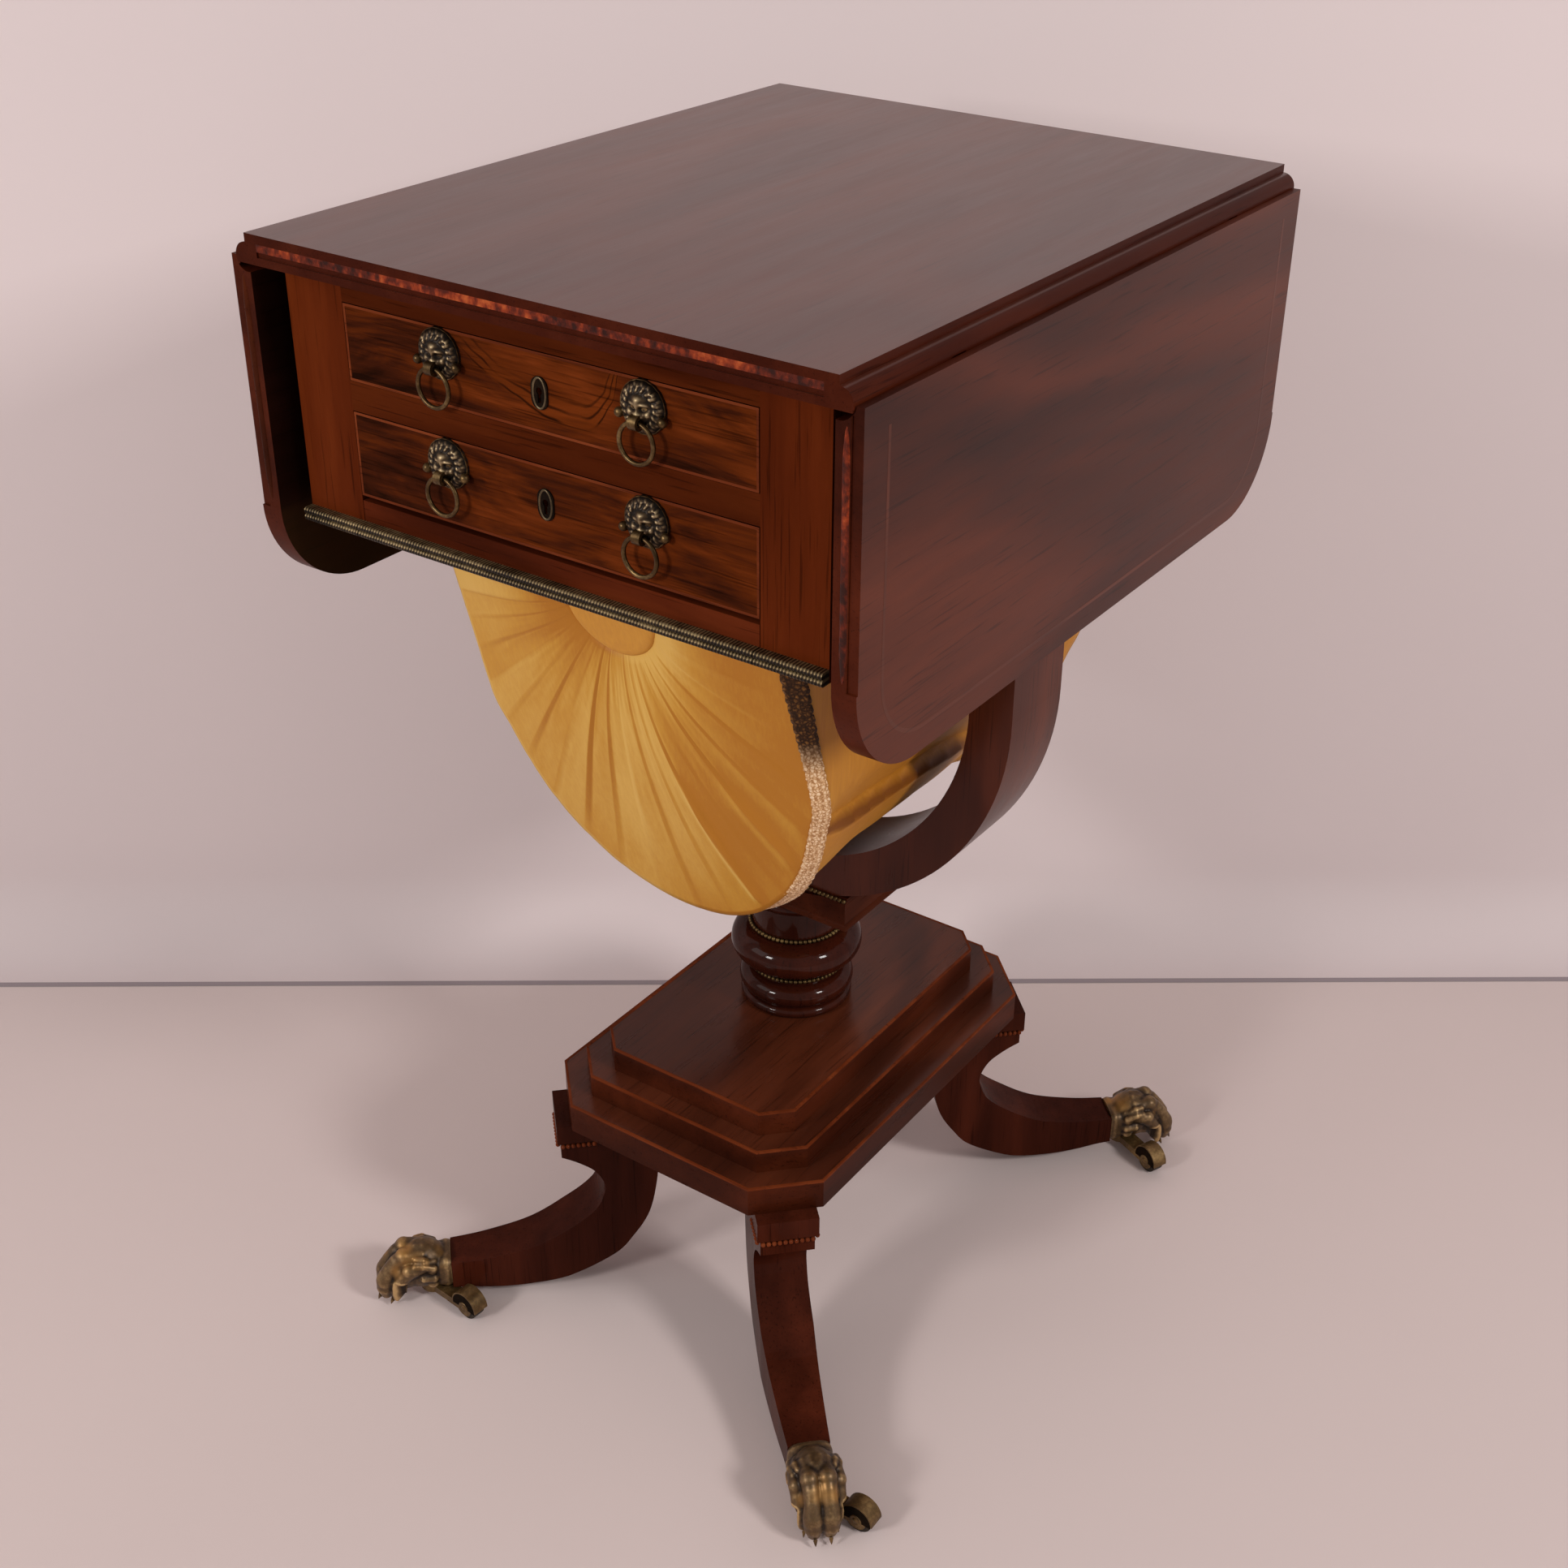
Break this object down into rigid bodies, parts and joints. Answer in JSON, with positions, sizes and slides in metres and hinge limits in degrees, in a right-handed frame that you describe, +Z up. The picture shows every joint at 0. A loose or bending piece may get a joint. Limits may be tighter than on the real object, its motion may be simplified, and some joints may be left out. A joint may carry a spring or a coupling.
{
  "type": "drop-leaf sewing table",
  "caption": "Drop-leaf sewing table with lockable drawers, a sliding silk work bag inside a U-shaped support, and sabre legs on brass paws and castors",
  "frame": {"origin": "on the floor, under the middle of the table", "axes": "+Z up, -Y towards the drawer fronts, +X to the right seen from the drawers"},
  "size_m": [0.4142, 0.4844, 0.74],
  "materials": {
    "mahogany": "french polished, dark red-brown",
    "rosewood": "polished veneer with dark figure",
    "banding": "polished orange-red crossbanding",
    "inner_wood": "plain planed wood",
    "brass": "aged and dull, lighter on the high points",
    "steel": "plain",
    "silk": "gold silk, softly pleated"
  },
  "bodies": {
    "table_body": {"top_board": "mahogany", "top_edge_bands": "banding", "carcase_sides": "mahogany", "carcase_back": "mahogany", "corner_stiles": "mahogany", "drawer_rails": "rosewood", "drawer_runners": "inner_wood", "slide_runners": "inner_wood", "stile_mouldings": "brass", "u_support": "mahogany", "u_block": "mahogany", "block_beading": "brass", "column": "mahogany", "column_bead_rings": "brass", "plinth_base": "mahogany", "plinth_middle": "mahogany", "plinth_top": "rosewood", "leg_front_left": "mahogany", "leg_front_right": "mahogany", "leg_back_left": "mahogany", "leg_back_right": "mahogany", "leg_head_mouldings": "mahogany", "paw_caps": "brass", "leaf_brackets": "inner_wood", "hinge_fixed_flaps": "brass", "hinge_pins": "steel"},
    "right_leaf_body": {"right_leaf": "mahogany", "right_leaf_flaps": "brass"},
    "left_leaf_body": {"left_leaf": "mahogany", "left_leaf_flaps": "brass"},
    "drawer_top_body": {"drawer_top_front": "rosewood", "drawer_top_box": "inner_wood", "drawer_top_base": "inner_wood", "drawer_top_escutcheon": "brass", "drawer_top_lock": "brass", "drawer_top_masks": "brass"},
    "lock_bolt_top_body": {"lock_bolt_top": "brass"},
    "ring_top_left_body": {"ring_top_left": "brass"},
    "ring_top_right_body": {"ring_top_right": "brass"},
    "drawer_bottom_body": {"drawer_bottom_front": "rosewood", "drawer_bottom_box": "inner_wood", "drawer_bottom_base": "inner_wood", "drawer_bottom_escutcheon": "brass", "drawer_bottom_lock": "brass", "drawer_bottom_masks": "brass"},
    "lock_bolt_bottom_body": {"lock_bolt_bottom": "brass"},
    "ring_bottom_left_body": {"ring_bottom_left": "brass"},
    "ring_bottom_right_body": {"ring_bottom_right": "brass"},
    "bag_slide_body": {"bag_slide_front": "mahogany", "bag_slide_frame": "inner_wood", "bag_slide_moulding": "brass", "silk_bag": "silk"},
    "castor_fork_front_left_body": {"castor_fork_front_left": "brass"},
    "castor_wheel_front_left_body": {"castor_wheel_front_left": "brass"},
    "castor_fork_front_right_body": {"castor_fork_front_right": "brass"},
    "castor_wheel_front_right_body": {"castor_wheel_front_right": "brass"},
    "castor_fork_back_left_body": {"castor_fork_back_left": "brass"},
    "castor_wheel_back_left_body": {"castor_wheel_back_left": "brass"},
    "castor_fork_back_right_body": {"castor_fork_back_right": "brass"},
    "castor_wheel_back_right_body": {"castor_wheel_back_right": "brass"}
  },
  "joints": [
    {"name": "right_leaf_hinge", "type": "hinge", "parent": "table_body", "child": "right_leaf_body", "pos_m": [0.184, 0, 0.7275], "axis": [0, -1, 0], "range_deg": [0, 90]},
    {"name": "left_leaf_hinge", "type": "hinge", "parent": "table_body", "child": "left_leaf_body", "pos_m": [-0.184, 0, 0.7275], "axis": [0, 1, 0], "range_deg": [0, 90]},
    {"name": "drawer_top_slide", "type": "slide", "parent": "table_body", "child": "drawer_top_body", "axis": [0, -1, 0], "range_m": [0, 0.29]},
    {"name": "lock_bolt_top_slide", "type": "slide", "parent": "drawer_top_body", "child": "lock_bolt_top_body", "axis": [0, 0, 1], "range_m": [0, 0.006]},
    {"name": "ring_top_left_hinge", "type": "hinge", "parent": "drawer_top_body", "child": "ring_top_left_body", "pos_m": [-0.065, -0.2307, 0.6903], "axis": [-1, 0, 0], "range_deg": [0, 100]},
    {"name": "ring_top_right_hinge", "type": "hinge", "parent": "drawer_top_body", "child": "ring_top_right_body", "pos_m": [0.065, -0.2307, 0.6903], "axis": [-1, 0, 0], "range_deg": [0, 100]},
    {"name": "drawer_bottom_slide", "type": "slide", "parent": "table_body", "child": "drawer_bottom_body", "axis": [0, -1, 0], "range_m": [0, 0.29]},
    {"name": "lock_bolt_bottom_slide", "type": "slide", "parent": "drawer_bottom_body", "child": "lock_bolt_bottom_body", "axis": [0, 0, 1], "range_m": [0, 0.006]},
    {"name": "ring_bottom_left_hinge", "type": "hinge", "parent": "drawer_bottom_body", "child": "ring_bottom_left_body", "pos_m": [-0.065, -0.2307, 0.632], "axis": [-1, 0, 0], "range_deg": [0, 100]},
    {"name": "ring_bottom_right_hinge", "type": "hinge", "parent": "drawer_bottom_body", "child": "ring_bottom_right_body", "pos_m": [0.065, -0.2307, 0.632], "axis": [-1, 0, 0], "range_deg": [0, 100]},
    {"name": "bag_slide", "type": "slide", "parent": "table_body", "child": "bag_slide_body", "axis": [0, -1, 0], "range_m": [0, 0.28]},
    {"name": "castor_front_left_swivel", "type": "hinge", "parent": "table_body", "child": "castor_fork_front_left_body", "pos_m": [-0.15951, -0.20881, 0.0093], "axis": [0, 0, 1], "range_deg": [-85, 1]},
    {"name": "castor_front_left_axle", "type": "hinge", "parent": "castor_fork_front_left_body", "child": "castor_wheel_front_left_body", "pos_m": [-0.12365, -0.21195, 0.01], "axis": [0.0872, 0.9962, 0], "continuous": true},
    {"name": "castor_front_right_swivel", "type": "hinge", "parent": "table_body", "child": "castor_fork_front_right_body", "pos_m": [0.15951, -0.20881, 0.0093], "axis": [0, 0, 1], "range_deg": [-1, 86]},
    {"name": "castor_front_right_axle", "type": "hinge", "parent": "castor_fork_front_right_body", "child": "castor_wheel_front_right_body", "pos_m": [0.19551, -0.20881, 0.01], "axis": [0, 1, 0], "continuous": true},
    {"name": "castor_back_left_swivel", "type": "hinge", "parent": "table_body", "child": "castor_fork_back_left_body", "pos_m": [-0.15951, 0.20881, 0.0093], "axis": [0, 0, 1], "range_deg": [-1, 86]},
    {"name": "castor_back_left_axle", "type": "hinge", "parent": "castor_fork_back_left_body", "child": "castor_wheel_back_left_body", "pos_m": [-0.19551, 0.20881, 0.01], "axis": [0, -1, 0], "continuous": true},
    {"name": "castor_back_right_swivel", "type": "hinge", "parent": "table_body", "child": "castor_fork_back_right_body", "pos_m": [0.15951, 0.20881, 0.0093], "axis": [0, 0, 1], "range_deg": [-62, 25]},
    {"name": "castor_back_right_axle", "type": "hinge", "parent": "castor_fork_back_right_body", "child": "castor_wheel_back_right_body", "pos_m": [0.1924, 0.19417, 0.01], "axis": [0.4067, 0.9135, 0], "continuous": true}
  ]
}
